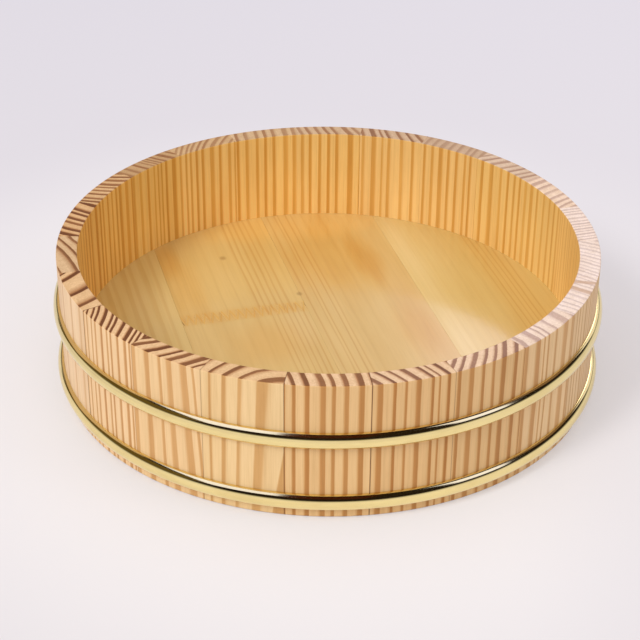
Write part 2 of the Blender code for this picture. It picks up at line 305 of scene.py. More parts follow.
# How dark each stave's left and right edges are where they meet a neighbour
SEAMS = {
    1: (0.5, 1.0), 2: (0.7, 0.4), 3: (0.3, 0.15),
    19: (0.15, 0.7), 20: (0.8, 0.3), 21: (0.2, 0.4), 22: (0.3, 0.7),
}
USUAL_SEAMS = (0.05, 0.05)
SEAM_REACH = (0.12, 0.40)

# Painted bounce light on the inside of the wall: how bright it is painted at the floor and at the rim
INSIDE_PAINTED_BOUNCE = (1.14, 0.98)

# The tints of some staves' outer faces, inside and end grain, and how far a painted sheen, as of glare,
# pales some end grain
# The outer tints are partly the wood's own tone and partly painted light: sheen on the staves at the right,
# light and sheen on those at the left, and shade on those at the front right
FACE_TONES_AND_PAINTED_LIGHT = {
    1: (1.0, 0.98, 0.93), 2: (0.97, 0.93, 0.86), 3: (0.94, 0.91, 0.85), 4: (1.04, 1.08, 1.15),
    5: (0.98, 1.03, 1.12), 6: (0.94, 0.98, 1.02), 18: (1.0, 1.04, 1.24), 19: (1.05, 1.12, 1.36),
    20: (1.07, 1.11, 1.24), 21: (1.04, 1.07, 1.12), 22: (1.04, 1.09, 1.10),
}
# The inside tints are partly the wood's own tone and partly painted shade, deepest on the inner wall at the
# left and back left
INSIDE_TONES_AND_PAINTED_SHADE = {
    5: (0.94, 0.95, 0.97), 6: (0.93, 0.94, 0.97), 7: (0.92, 0.93, 0.98), 8: (0.91, 0.94, 0.98),
    9: (0.91, 0.93, 0.97), 10: (0.93, 0.95, 1.07), 11: (0.96, 0.99, 1.12), 12: (1.01, 1.05, 1.12),
    13: (1.03, 1.05, 1.05), 14: (1.02, 1.04, 1.06), 15: (0.96, 0.94, 0.82), 16: (0.93, 0.87, 0.71),
    17: (0.89, 0.81, 0.65), 18: (0.86, 0.78, 0.64), 19: (0.90, 0.84, 0.72),
}
END_TONES = {
    9: (0.82, 0.83, 0.86), 10: (0.69, 0.68, 0.74), 11: (0.76, 0.76, 0.82), 12: (0.76, 0.75, 0.76),
    13: (0.79, 0.78, 0.74), 14: (0.75, 0.70, 0.60), 15: (0.67, 0.59, 0.47), 16: (0.84, 0.77, 0.64),
    17: (0.88, 0.79, 0.64), 18: (0.84, 0.82, 0.76), 19: (0.95, 0.91, 0.80), 20: (1.02, 0.99, 0.90),
    21: (0.97, 0.93, 0.84), 22: (0.96, 0.93, 0.83),
}
# How far a painted sheen pales each stave's end grain
PAINTED_SHEEN_ON_ENDS = {2: 0.1, 3: 0.25, 4: 0.7, 5: 0.95, 6: 1.0, 7: 0.9, 8: 0.5, 9: 0.25}

# Tints of the places where the boards differ, and one tint of painted light, marked below
ORANGE = (0.97, 0.84, 0.62)
PINK = (1.0, 0.93, 1.0)
SAPWOOD = (1.06, 1.10, 1.28)
# Painted light, no difference of the wood: it brightens patches of the boards, most of all their far ends by
# the back wall
PAINTED_LIGHT_TINT = (1.12, 1.07, 0.98)
KNOT = (0.60, 0.52, 0.42)
SOAKED = (1.02, 0.91, 0.62)

# The wood of one board of the bottom. bands and widths are the dark lines across the board, in millimetres
# from the tub's axis, and pith is their centre, across and down. contrast holds over the board, and marked is
# a stretch across it, (from, to, contrast), with clearer lines. tone is the tint of the board. The last field
# holds stains of the wood and patches of painted light, each (across, along, half breadth, half length,
# strength, tint).
Board = namedtuple("Board", "bands widths pith contrast marked tone stains")

KNOT_ACROSS_A_JOINT = (-7.0, 37.9, 1.7, 2.1, 0.7, KNOT)

BOARDS = {
    "bottom_board_1": Board(
        bands=(-116, -111, -104, -99, -92, -86),
        widths=(3.5, 2.0, 3.0, 2.5, 3.0, 2.0),
        pith=(-260, 90),
        contrast=0.36,
        marked=(-117, -95, 0.42),
        tone=(1.0, 1.03, 0.98),
        stains=[
            (-82, 0, 6, 200, 0.35, SAPWOOD),
            (-94, 44, 13, 34, 0.7, SAPWOOD),
            # A patch of painted light
            (-104, -28, 22, 40, 0.3, PAINTED_LIGHT_TINT),
        ],
    ),
    "bottom_board_2_far": Board(
        bands=(-69, -67, -65, -63, -52, -43, -33.5, -30, -26.5, -23, -19.5, -15.5),
        widths=(0.6, 0.6, 0.6, 0.6, 1.0, 1.0, 1.3, 1.3, 1.3, 1.3, 1.3, 1.5),
        pith=(-260, 90),
        contrast=0.14,
        marked=(-36, -12, 0.55),
        tone=(1.02, 1.01, 0.95),
        stains=[
            (-50, 24, 45, 7, 0.6, ORANGE),
            (-12, 100, 14, 40, 0.3, ORANGE),
            (-70, 60, 12, 40, 0.6, ORANGE),
            (-76, 95, 8, 24, 0.9, ORANGE),
            # A patch of painted light by the back wall
            (-10, 125, 42, 18, 1.0, PAINTED_LIGHT_TINT),
            (-41.6, 91.4, 2.2, 2.7, 0.75, KNOT),
            KNOT_ACROSS_A_JOINT,
        ],
    ),
    "bottom_board_2_near": Board(
        bands=(-70, -58, -46, -37, -28, -25, -22, -19, -16, -13, -10),
        widths=(1.5, 1.5, 1.5, 1.5, 0.8, 0.8, 0.8, 0.8, 0.8, 0.8, 0.8),
        pith=(-260, 60),
        contrast=0.12,
        marked=(-31, -6, 0.55),
        tone=(1.0, 1.0, 0.98),
        stains=[
            (-50, 24, 45, 7, 0.6, ORANGE),
            (-37, -12, 20, 26, 0.75, ORANGE),
            (-15, 3, 10, 22, 0.8, SAPWOOD),
        ],
    ),
    "bottom_board_3": Board(
        bands=(-7, -3, 2, 4, 9, 12, 19, 30, 42, 57),
        widths=(0.8, 0.8, 0.7, 0.7, 0.8, 0.8, 1.5, 3.0, 3.0, 7.0),
        pith=(260, 90),
        contrast=0.12,
        marked=(-9, 15, 0.55),
        tone=(1.0, 1.0, 1.02),
        stains=[
            (20, 78, 32, 52, 1.0, ORANGE),
            (42, 66, 10, 30, 0.6, ORANGE),
            (49, -19, 16, 28, 0.5, ORANGE),
            (54, -40, 14, 120, 0.6, PINK),
            # A patch of painted light by the back wall
            (25, 122, 45, 20, 1.0, PAINTED_LIGHT_TINT),
            KNOT_ACROSS_A_JOINT,
        ],
    ),
    "bottom_board_4": Board(
        bands=(80, 88, 96, 104, 110, 113, 116, 119, 122, 126),
        widths=(1.5, 2.0, 2.0, 2.0, 0.8, 0.8, 0.8, 0.8, 0.8, 0.8),
        pith=(260, 90),
        contrast=0.10,
        marked=(107, 128, 0.5),
        tone=(1.0, 1.03, 0.96),
        stains=[
            (67, 0, 10, 300, 0.9, SAPWOOD),
            (72, -52, 18, 46, 1.0, SAPWOOD),
            (77, 78, 20, 50, 1.0, SAPWOOD),
            (118, 0, 12, 200, 0.5, ORANGE),
        ],
    ),
}
STAIN_AND_LIGHT_EDGE = (0.3, 1.4)
STAIN_AND_LIGHT_RAGGEDNESS = 0.8
FIRST_BOARD_SEED = 41

# Where glue darkens the wood beside the finger joint, in millimetres
SOAKED_REACH = (0.5, 2.6)
SOAKED_BEYOND = 0.1
SOAKED_MARGIN = 1.5


def opaque(colour):
    """A plain colour with full cover. Anything else, such as a socket, stays as it is."""
    return (*colour, 1.0) if isinstance(colour, tuple) else colour


class Nodes:
    """The node tree of a new material, or of the world, with short ways to add and join nodes."""

    def __init__(self, name, world=None):
        self.material = world or bpy.data.materials.new(name)
        self.material.use_nodes = True
        self.tree = self.material.node_tree
        self.shader = self.tree.nodes["Background" if world else "Principled BSDF"]

    def feed(self, socket, value):
        if isinstance(value, bpy.types.NodeSocket):
            self.tree.links.new(value, socket)
        else:
            socket.default_value = value

    def add(self, kind, inputs=(), **settings):
        node = self.tree.nodes.new("ShaderNode" + kind)
        for name, value in settings.items():
            setattr(node, name, value)
        for key, value in dict(inputs).items():
            self.feed(node.inputs[key], value)
        return node

    def place(self):
        """The object's own coordinates."""
        return self.add("TexCoord").outputs["Object"]

    def math(self, operation, *values):
        node = self.add("Math", operation=operation)
        for socket, value in zip(node.inputs, values):
            self.feed(socket, value)
        return node.outputs[0]

    def product(self, first, second):
        return self.math("MULTIPLY", first, second)

    def line(self, value, slope, start):
        return self.math("MULTIPLY_ADD", value, slope, start)

    def away(self, value, middle):
        """How far the value is from the middle."""
        return self.math("ABSOLUTE", self.math("SUBTRACT", value, middle))

    def length(self, x, y):
        return self.math("SQRT", self.math("ADD", self.product(x, x), self.product(y, y)))

    def vector(self, x, y, z):
        return self.add("CombineXYZ", {0: x, 1: y, 2: z}).outputs[0]

    def parts(self, vector):
        return self.add("SeparateXYZ", {0: vector}).outputs[:3]

    def waves(self, x, y, z, level, upright, start=0.0):
        return self.vector(
            self.line(x, level, start),
            self.product(y, level),
            self.product(z, upright),
        )

    def times(self, vector, factor):
        return self.add("VectorMath", {0: vector, 3: factor}, operation="SCALE").outputs[0]

    def noise(self, place, detail=2.0, roughness=0.5):
        node = self.add("TexNoise", {"Vector": place, "Scale": 1.0, "Detail": detail, "Roughness": roughness})
        return node.outputs[0]

    def swing(self, place, amount, detail):
        """Noise about zero, up to plus or minus the amount."""
        return self.product(self.math("SUBTRACT", self.noise(place, detail), 0.5), 2 * amount)

    def scaled(self, value, low, high, first, last, **settings):
        """Runs straight from first to last as the value goes from low to high."""
        inputs = {"Value": value, "From Min": low, "From Max": high, "To Min": first, "To Max": last}
        return self.add("MapRange", inputs, **settings).outputs[0]

    def ease(self, value, low, high, first=0.0, last=1.0):
        """Runs smoothly from first to last as the value goes from low to high."""
        return self.scaled(value, low, high, first, last, interpolation_type="SMOOTHSTEP")

    def mix(self, share, first, second, blend="MIX"):
        inputs = {0: share, 6: opaque(first), 7: opaque(second)}
        return self.add("Mix", inputs, data_type="RGBA", blend_type=blend).outputs[2]

    def tinted(self, colour, tint):
        return self.mix(1.0, colour, tint, "MULTIPLY")

    def ramp(self, value, stops):
        """A colour or grey level for each value: stops are (place, level or colour)."""
        node = self.add("ValToRGB", {0: value})
        elements = node.color_ramp.elements
        while len(elements) < len(stops):
            elements.new(0.5)
        for element, (place, colour) in zip(elements, stops):
            element.position = place
            element.color = opaque(colour if isinstance(colour, tuple) else (colour, colour, colour))
        return node.outputs[0]

    def curve(self, value, points):
        """Straight stretches between (value, result) points, both from 0 to 1."""
        node = self.add("FloatCurve", {"Value": value})
        line = node.mapping.curves[0]
        while len(line.points) < len(points):
            line.points.new(0.5, 0.5)
        for point, place in zip(line.points, points):
            point.location = place
            point.handle_type = "VECTOR"
        node.mapping.update()
        return node.outputs[0]

    def surface(self, colour, roughness, relief, depth):
        """Gives the material its colour and roughness, and a relief of this depth."""
        bump = self.add("Bump", {"Height": relief, "Distance": depth, "Strength": 1.0})
        for name, value in (("Base Color", colour), ("Roughness", roughness), ("Normal", bump.outputs[0])):
            self.feed(self.shader.inputs[name], value)


def spread(lines, random, reach):
    """The dark lines, as (start, end), with more like them on both sides, out to the reach."""
    lines = sorted(lines)
    middles = [(start + end) / 2 for start, end in lines]
    typical = (middles[-1] - middles[0]) / (len(lines) - 1)
    breadth = sum(end - start for start, end in lines) / len(lines)

    def another(neighbour, side):
        middle = sum(neighbour) / 2 + side * typical * random.uniform(0.75, 1.25)
        half = breadth * random.uniform(0.35, 0.65)
        return middle - half, middle + half

    low, high = lines[0][0] - reach, lines[-1][1] + reach
    while lines[0][0] > low:
        lines.insert(0, another(lines[0], -1))
    while lines[-1][1] < high:
        lines.append(another(lines[-1], 1))
    return lines


def ring_count(nodes, distance, lines):
    """The number of rings within this distance of the pith. A ring's dark line is its count's last half."""
    low, high = lines[0][0], lines[-1][1]
    total = len(lines)
    points = []
    for k, (start, end) in enumerate(lines):
        points.append(((start - low) / (high - low), (k + 0.5) / total))
        points.append(((end - low) / (high - low), (k + 1) / total))
    share = nodes.scaled(distance, low, high, 0.0, 1.0)
    return nodes.product(nodes.curve(share, points), float(total))


def wood(nodes, across, depth, along, pith, lines, seed, lean=0.0, waver=0.35, fray=FRAY):
    """How far through its growth ring a place is, and that ring's strength, the fibres and the blotches.

    lean and waver are as in Growth, and fray is how ragged the rings' edges are, in millimetres.
    """
    drift = Vector((13.7, 7.9, 5.3)) * seed

    def stretched(waves, start):
        over_width, over_length = waves
        return nodes.vector(
            nodes.line(across, over_width, start.x),
            nodes.line(depth, over_width, start.y),
            nodes.line(along, over_length, start.z),
        )

    fan = nodes.line(across, -lean / HALF_STAVE, -lean)
    moved = nodes.line(along, fan, across)
    slow = stretched(BENDS, drift)
    from_pith = nodes.length(nodes.math("SUBTRACT", moved, pith[0]), nodes.math("SUBTRACT", depth, pith[1]))
    bent = nodes.math("ADD", from_pith, nodes.swing(slow, waver, 1.0))
    ragged = nodes.math("ADD", bent, nodes.swing(stretched(RAGGED_EDGES, drift), fray, 2.0))
    count = ring_count(nodes, ragged, lines)
    ring = nodes.math("FLOOR", count)
    through = nodes.math("SUBTRACT", count, ring)
    own = nodes.add("TexWhiteNoise", {"W": nodes.math("ADD", ring, 0.37 * seed)}, noise_dimensions="1D")
    strength = nodes.scaled(own.outputs[0], 0.0, 1.0, 0.72, 1.0)
    fine = nodes.noise(stretched(FINE_FIBRES, drift.yzx), 3.0, 0.6)
    broad = nodes.noise(stretched(BROAD_FIBRES, drift.zxy), 2.0)
    fibres = nodes.line(broad, 0.5, nodes.product(fine, 0.5))
    blotches = nodes.noise(slow, 3.0, 0.55)
    return through, strength, fibres, blotches


def stave_centre(number):
    return FIRST_JOINT_ANGLE + (number - 0.5) * STAVE_ANGLE


def dark_lines(wood_piece, from_pith):
    """The dark lines of a stave or board, as stretches of distance from its pith in millimetres."""
    lines = []
    for band, width in zip(wood_piece.bands, wood_piece.widths):
        lines.append(tuple(sorted((from_pith(band - width / 2), from_pith(band + width / 2)))))
    return lines


def with_tongue(nodes, number, across, z, darkness):
    """The darkness, deepened inside the slanting dark wood at the stave's right joint."""
    tip, taper = TONGUES[number]
    reach = nodes.line(z, -taper * MM, tip * taper * MM - HALF_STAVE)
    inside = nodes.math("ADD", across, reach)
    return nodes.math("MAXIMUM", darkness, nodes.ease(inside, -0.5, 0.5, 0.0, TONGUE_DARKNESS))


def angle_at(nodes, x, y):
    """The angle from the stave's centre line, in radians."""
    return nodes.math("ARCTAN2", x, nodes.product(y, -1.0))


def streak_cover(nodes, number, streak, x, y, inward):
    """How far a streak that crosses the stave's rim covers it."""
    place, slant, half = streak
    start = radians(place - stave_centre(number))
    middle = nodes.line(inward, radians(slant) / (WALL_THICKNESS * MM), start)
    away = nodes.away(angle_at(nodes, x, y), middle)
    return nodes.ease(away, radians(half * 0.6), radians(half * 1.3), STREAK_STRENGTH, 0.0)


def seam_shade(nodes, number, x, y):
    """How dark a stave is from the glue and dust in its two joints, near which it gets darker."""
    angle = angle_at(nodes, x, y)
    shade = 0.0
    for side, strength in zip((-1, 1), SEAMS.get(number, USUAL_SEAMS)):
        distance = nodes.line(angle, -side * OUTER_RADIUS * MM, HALF_STAVE)
        shade = nodes.math("ADD", shade, nodes.ease(distance, *SEAM_REACH, strength, 0.0))
    return shade


def end_grain(nodes, number, on_end, x, y, across, inward, above_rim):
    """The colour of a stave's rim and foot: sawn and streaked, and on some staves paled by a painted sheen.
    """
    end_without_sheen = nodes.ramp(on_end, END_COLOURS)
    # Some staves' end grain is paled by a painted sheen
    colour = nodes.mix(PAINTED_SHEEN_ON_ENDS.get(number, 0.0), end_without_sheen, nodes.ramp(on_end, PAINTED_SHEEN_COLOURS))
    speckle = nodes.noise(nodes.vector(across, inward, above_rim), 3.0, 0.7)
    colour = nodes.tinted(colour, nodes.ramp(speckle, SAW_MARKS))
    for streak in STREAKS.get(number, ()):
        colour = nodes.mix(streak_cover(nodes, number, streak, x, y, inward), colour, STREAK_COLOUR)
    return nodes.tinted(colour, END_TONES.get(number, PLAIN))


def stave_material(number, growth):
    """The wood of one stave, in millimetres across it, in from its outer face, and down from its top."""
    nodes = Nodes(f"stave_wood_{number:02d}")
    x, y, z = nodes.parts(nodes.place())
    across = nodes.product(x, MM)
    inward = nodes.line(y, MM, OUTER_RADIUS * MM)
    above_rim = nodes.line(z, MM, -HEIGHT * MM)
    turn = radians(growth.slant)
    pith = (-growth.pith * cos(turn), WALL_THICKNESS * MM / 2 - growth.pith * sin(turn))
    radius = (OUTER_RADIUS if growth.wall == "outer" else INNER_RADIUS) * MM

    def from_pith(edge):
        angle = radians((edge - stave_centre(number) + 180) % 360 - 180)
        return hypot(radius * sin(angle) - pith[0], OUTER_RADIUS * MM - radius * cos(angle) - pith[1])

    lines = spread(dark_lines(growth, from_pith), Random(number), STAVE_REACH)
    # The rings fray more where a painted sheen pales the end grain
    fray = FRAY + PAINTED_SHEEN_FRAY * PAINTED_SHEEN_ON_ENDS.get(number, 0.0)
    through, strength, fibres, blotches = wood(
        nodes, across, inward, above_rim, pith, lines, number, growth.lean, growth.waver, fray
    )
    darkness = nodes.product(nodes.ramp(through, FACE_RING), strength)
    if number in TONGUES:
        darkness = with_tongue(nodes, number, across, z, darkness)
    on_face = nodes.product(darkness, growth.face)
    end_darkness = nodes.product(nodes.ramp(through, END_RING), strength)
    on_end = nodes.product(end_darkness, growth.end)

    # Outer faces carry painted light and shade in their tints
    outside = nodes.tinted(nodes.ramp(on_face, OUTSIDE_COLOURS), FACE_TONES_AND_PAINTED_LIGHT.get(number, PLAIN))
    # Inside faces carry painted shade in their tints
    inside = nodes.tinted(nodes.ramp(on_face, INSIDE_COLOURS), INSIDE_TONES_AND_PAINTED_SHADE.get(number, PLAIN))
    # Painted bounce light: the inside is painted brighter towards the floor
    inside = nodes.times(inside, nodes.ease(z, FLOOR_HEIGHT, HEIGHT, *INSIDE_PAINTED_BOUNCE))
    is_inside = nodes.ease(nodes.length(x, y), INNER_RADIUS + 0.0002, INNER_RADIUS + 0.0008, 1.0, 0.0)
    colour = nodes.mix(is_inside, outside, inside)
    normal = nodes.parts(nodes.add("NewGeometry").outputs["Normal"])
    is_end = nodes.ease(nodes.math("ABSOLUTE", normal[2]), 0.35, 0.8)
    colour = nodes.mix(is_end, colour, end_grain(nodes, number, on_end, x, y, across, inward, above_rim))
    colour = nodes.tinted(colour, nodes.ramp(fibres, STAVE_FIBRES))
    colour = nodes.tinted(colour, nodes.ramp(blotches, STAVE_BLOTCHES))
    colour = nodes.mix(seam_shade(nodes, number, x, y), colour, SEAM_COLOUR)

    rough = nodes.scaled(fibres, *NOISE_RANGE, *STAVE_ROUGHNESS)
    rough = nodes.line(darkness, -0.12, rough)
    relief = nodes.math("ADD", nodes.product(darkness, 0.35), fibres)
    nodes.surface(colour, rough, relief, STAVE_RELIEF)
    nodes.shader.inputs["Specular IOR Level"].default_value = 0.25
    return nodes.material


def near_finger_joint(nodes, across, along):
    """1 on the zigzag of the finger joint, and 0 where the glue that soaked into the wood ends."""
    left, right = (joint * MM for joint in BOARD_JOINTS[:2])
    pitch = (right - left) / FINGER_COUNT
    count = nodes.line(across, 1 / pitch, -left / pitch)
    share = nodes.away(nodes.math("FRACT", count), 0.5)
    reach = FINGER_LENGTH * MM
    zigzag = nodes.line(share, 2 * reach, FINGER_JOINT_PLACE * MM - reach / 2)
    soaked = nodes.ease(nodes.away(along, zigzag), *SOAKED_REACH, 1.0, SOAKED_BEYOND)
    inside = nodes.math("LESS_THAN", nodes.away(along, FINGER_JOINT_PLACE * MM), reach / 2 + SOAKED_MARGIN)
    return nodes.product(soaked, inside)


def stain_and_light_cover(nodes, form, across, along, blotches):
    """How far a stain or a patch of painted light, with its ragged edge, covers the board."""
    place_across, place_along, breadth, length, strength = form
    away = nodes.length(
        nodes.line(across, 1 / breadth, -place_across / breadth),
        nodes.line(along, 1 / length, -place_along / length),
    )
    ragged = nodes.line(blotches, STAIN_AND_LIGHT_RAGGEDNESS, -STAIN_AND_LIGHT_RAGGEDNESS / 2)
    return nodes.ease(nodes.math("ADD", away, ragged), *STAIN_AND_LIGHT_EDGE, strength, 0.0)


def board_material(name, board, seed):
    """The wood of one board of the bottom, in millimetres across the boards, along them and down."""
    nodes = Nodes(name + "_wood")
    x, y, z = nodes.parts(nodes.place())
    across = nodes.product(x, MM)
    along = nodes.product(y, MM)
    down = nodes.line(z, -MM, FLOOR_HEIGHT * MM)
    pith_across, pith_depth = board.pith
    lines = dark_lines(board, lambda edge: hypot(edge - pith_across, pith_depth))
    lines = spread(lines, Random(seed), BOARD_REACH)
    through, strength, fibres, blotches = wood(nodes, across, down, along, board.pith, lines, seed, waver=1.0)
    darkness = nodes.product(nodes.ramp(through, FACE_RING), strength)
    low, high, clear = board.marked
    half = (high - low) / 2
    contrast = nodes.ease(nodes.away(across, (low + high) / 2), half - 2, half + 2, clear, board.contrast)
    colour = nodes.ramp(nodes.product(darkness, contrast), BOARD_COLOURS)
    for tint in (board.tone, nodes.ramp(fibres, BOARD_FIBRES), nodes.ramp(blotches, BOARD_BLOTCHES)):
        colour = nodes.tinted(colour, tint)
    # Stains of the wood, and patches of painted light
    for *form, tint in board.stains:
        cover = stain_and_light_cover(nodes, form, across, along, blotches)
        colour = nodes.mix(cover, colour, nodes.tinted(colour, tint))
    if name.startswith(f"bottom_board_{FINGER_JOINTED_BOARD_NUMBER}"):
        colour = nodes.mix(near_finger_joint(nodes, across, along), colour, nodes.tinted(colour, SOAKED))
    nodes.surface(colour, nodes.scaled(fibres, *NOISE_RANGE, *BOARD_ROUGHNESS), fibres, BOARD_RELIEF)
    nodes.shader.inputs["Coat Weight"].default_value = 0.8
    nodes.shader.inputs["Coat Roughness"].default_value = 0.14
    return nodes.material


def glue_material():
    nodes = Nodes("dried_glue")
    cloud = nodes.noise(nodes.times(nodes.place(), GLUE_CLOUDS), 3.0)
    rough = nodes.scaled(cloud, *NOISE_RANGE, *GLUE_ROUGHNESS)
    nodes.surface(nodes.ramp(cloud, GLUE_COLOURS), rough, cloud, GLUE_RELIEF)
    return nodes.material


def brass_material(name, seed):
    """Polished brass with fine lines drawn along the bar and faint clouds."""
    nodes = Nodes(name)
    x, y, z = nodes.parts(nodes.place())
    outward = nodes.product(nodes.length(x, y), BRASS_LINES[1])
    place = nodes.waves(x, y, z, *BRASS_LINES, seed)
    inputs = {"Vector": place, "W": outward, "Scale": 1.0, "Detail": 2.0}
    lines = nodes.add("TexNoise", inputs, noise_dimensions="4D").outputs[0]
    cloud = nodes.noise(nodes.waves(x, y, z, *BRASS_CLOUDS, seed), 3.0, 0.6)
    rough = nodes.scaled(nodes.math("ADD", lines, cloud), 0.6, 1.4, *BRASS_ROUGHNESS)
    nodes.surface(nodes.ramp(cloud, BRASS_COLOURS), rough, lines, BRASS_RELIEF)
    nodes.shader.inputs["Metallic"].default_value = 1.0
    return nodes.material


def bamboo_material():
    nodes = Nodes("bamboo_strips")
    strands = nodes.noise(nodes.waves(*nodes.parts(nodes.place()), *BAMBOO_STRANDS), 3.0)
    rough = nodes.scaled(strands, *NOISE_RANGE, *BAMBOO_ROUGHNESS)
    nodes.surface(nodes.ramp(strands, BAMBOO_COLOURS), rough, strands, BAMBOO_RELIEF)
    return nodes.material


def around(radius, angle, height):
    """A point at this radius and height, at an angle in radians from the front."""
    return Vector((radius * sin(angle), -radius * cos(angle), height))


def added(name, data):
    """A new object of the scene."""
    obj = bpy.data.objects.new(name, data)
    bpy.context.scene.collection.objects.link(obj)
    return obj


def skin(bm, rows):
    """Faces between each closed row of corners and the next."""
    for first, second in zip(rows, rows[1:]):
        for k, corner in enumerate(first):
            after = (k + 1) % len(first)
            bm.faces.new((corner, first[after], second[after], second[k]))


def finished(bm, name, sharp=35):
    """The mesh, smooth but for edges that turn by more than the sharp angle."""
    bmesh.ops.recalc_face_normals(bm, faces=bm.faces)
    mesh = bpy.data.meshes.new(name)
    bm.to_mesh(mesh)
    bm.free()
    mesh.shade_smooth()
    mesh.set_sharp_from_angle(angle=radians(sharp))
    return mesh


def piece(name, mesh, material, node, turn=0.0):
    """Shows the mesh in place of a node of the solids, turned about the tub's axis."""
    obj = added(name, mesh)
    if not mesh.materials:
        mesh.materials.append(None)
    obj.material_slots[0].link = "OBJECT"
    obj.material_slots[0].material = material
    obj.rotation_euler.z = turn
    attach(obj, "root")
    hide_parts(node)
    return obj


def rounded(corners, steps=4):
    """The outline with its corners rounded. Corners are (radius, height, rounding) in order.

    Gives (point, way out), each as a vector of radius and height.
    """
    points = []
    count = len(corners)
    for k, (r, z, rounding) in enumerate(corners):
        here = Vector((r, z))
        before = (Vector(corners[k - 1][:2]) - here).normalized()
        after = (Vector(corners[(k + 1) % count][:2]) - here).normalized()
        out_before = Vector((-before.y, before.x))
        out_after = Vector((after.y, -after.x))
        if not rounding:
            points.append((here, (out_before + out_after).normalized()))
            continue
        centre = here + rounding * (before + after)
        points.append((here + (rounding + EDGE_STRIP) * before, out_before))
        for step in range(steps + 1):
            share = step / steps * pi / 2
            out = (cos(share) * out_before + sin(share) * out_after).normalized()
            points.append((centre + rounding * out, out))
        points.append((here + (rounding + EDGE_STRIP) * after, out_after))
    return points


def stave_outline():
    """A stave's section, up its outer face and down its inner face with the groove."""
    return rounded(
        [
            (OUTER_RADIUS, 0, FOOT_ROUNDING),
            (OUTER_RADIUS, HEIGHT, RIM_ROUNDING),
            (INNER_RADIUS, HEIGHT, RIM_ROUNDING),
            (INNER_RADIUS, FLOOR_HEIGHT, 0),
            (GROOVE_RADIUS, FLOOR_HEIGHT, 0),
            (GROOVE_RADIUS, TONGUE_UNDERSIDE, 0),
            (INNER_RADIUS, TONGUE_UNDERSIDE, 0),
            (INNER_RADIUS, 0, FOOT_ROUNDING),
        ]
    )


def stave_mesh():
    """One stave at the front. Its ends draw in a little, so that each joint has two softened edges."""
    outline = stave_outline()
    half = radians(STAVE_ANGLE) / 2 - JOINT_GAP / 2 / INNER_RADIUS
    ends = [
        (JOINT_ROUNDING * (1 - sin(turn)), JOINT_ROUNDING * (1 - cos(turn)))
        for turn in (pi / 2, pi / 3, pi / 6, 0)
    ]
    stations = [(-half + side / OUTER_RADIUS, inset) for side, inset in ends]
    flat_half = half - (JOINT_ROUNDING + EDGE_STRIP) / OUTER_RADIUS
    stations += [(flat_half * (2 * k / STAVE_STEPS - 1), 0.0) for k in range(STAVE_STEPS + 1)]
    stations += [(half - side / OUTER_RADIUS, inset) for side, inset in reversed(ends)]
    bm = bmesh.new()
    rows = []
    for angle, inset in stations:
        section = [point - inset * out for point, out in outline]
        rows.append([bm.verts.new(around(radius, angle, height)) for radius, height in section])
    skin(bm, rows)
    bm.faces.new(rows[0])
    bm.faces.new(rows[-1])
    return finished(bm, "stave_form")


def make_staves():
    mesh = stave_mesh()
    for number, growth in enumerate(STAVES, 1):
        node = f"stave_{number:02d}"
        material = stave_material(number, growth)
        piece(node + "_pine", mesh, material, node, radians(stave_centre(number)))


def hoop_mesh(height):
    """Half-oval bar bent to a ring, its flat side on the staves."""
    seat = OUTER_RADIUS + HOOP_SEAT
    outline = [
        (seat + HOOP_THICKNESS * cos(turn), height + HOOP_WIDTH / 2 * sin(turn))
        for turn in (-pi / 2 + pi * k / HOOP_ARC_STEPS for k in range(HOOP_ARC_STEPS + 1))
    ]
    bm = bmesh.new()
    rows = [
        [bm.verts.new(around(radius, 2 * pi * k / RING_STEPS, z)) for radius, z in outline]
        for k in range(RING_STEPS)
    ]
    skin(bm, rows + rows[:1])
    return finished(bm, "hoop_form", 60)


def make_hoops():
    hoops = (("upper_hoop", UPPER_HOOP_HEIGHT), ("lower_hoop", LOWER_HOOP_HEIGHT))
    for number, (name, height) in enumerate(hoops):
        piece(name + "_bar", hoop_mesh(height), brass_material(name + "_brass", 3.0 * number), name)


def stacked_circles(bm, levels, steps):
    """A solid through circles given as (radius, height), flat at its two ends."""
    rings = [
        [bm.verts.new(around(radius, 2 * pi * k / steps, height)) for k in range(steps)]
        for radius, height in levels
    ]
    skin(bm, rings)
    bm.faces.new(rings[0])
    bm.faces.new(rings[-1])


def strip_mesh(name, left, right):
    """The part of the round bottom between two lines along the boards, in the boards' own directions."""
    bm = bmesh.new()
    levels = [
        (INNER_RADIUS - JOINT_GAP, FLOOR_HEIGHT - BOARD_THICKNESS),
        (INNER_RADIUS - JOINT_GAP, TONGUE_UNDERSIDE + JOINT_GAP),
        (GROOVE_RADIUS - JOINT_GAP, TONGUE_UNDERSIDE + JOINT_GAP),
        (GROOVE_RADIUS - JOINT_GAP, FLOOR_HEIGHT - JOINT_GAP),
    ]
    stacked_circles(bm, levels, RING_STEPS)
    for edge, outward in ((left, -1), (right, 1)):
        if edge is None:
            continue
        found = bmesh.ops.bisect_plane(
            bm,
            geom=bm.verts[:] + bm.edges[:] + bm.faces[:],
            plane_co=(edge - outward * BOARD_GAP / 2, 0, 0),
            plane_no=(outward, 0, 0),
            clear_outer=True,
        )
        rim = [item for item in found["geom_cut"] if isinstance(item, bmesh.types.BMEdge)]
        bmesh.ops.contextual_create(bm, geom=rim)
    return finished(bm, name)


def finger_path():
    """The zigzag of the finger joint, as (across, along) points from past one edge to past the other."""
    left, right = BOARD_JOINTS[:2]
    half_pitch = (right - left) / (2 * FINGER_COUNT)
    points = []
    for k in range(-1, 2 * FINGER_COUNT + 2):
        middle = left + (k + 0.5) * half_pitch
        along = FINGER_JOINT_PLACE + (FINGER_LENGTH / 2 if k % 2 else -FINGER_LENGTH / 2)
        points += [(middle - FINGER_TIP / 2, along), (middle + FINGER_TIP / 2, along)]
    return points


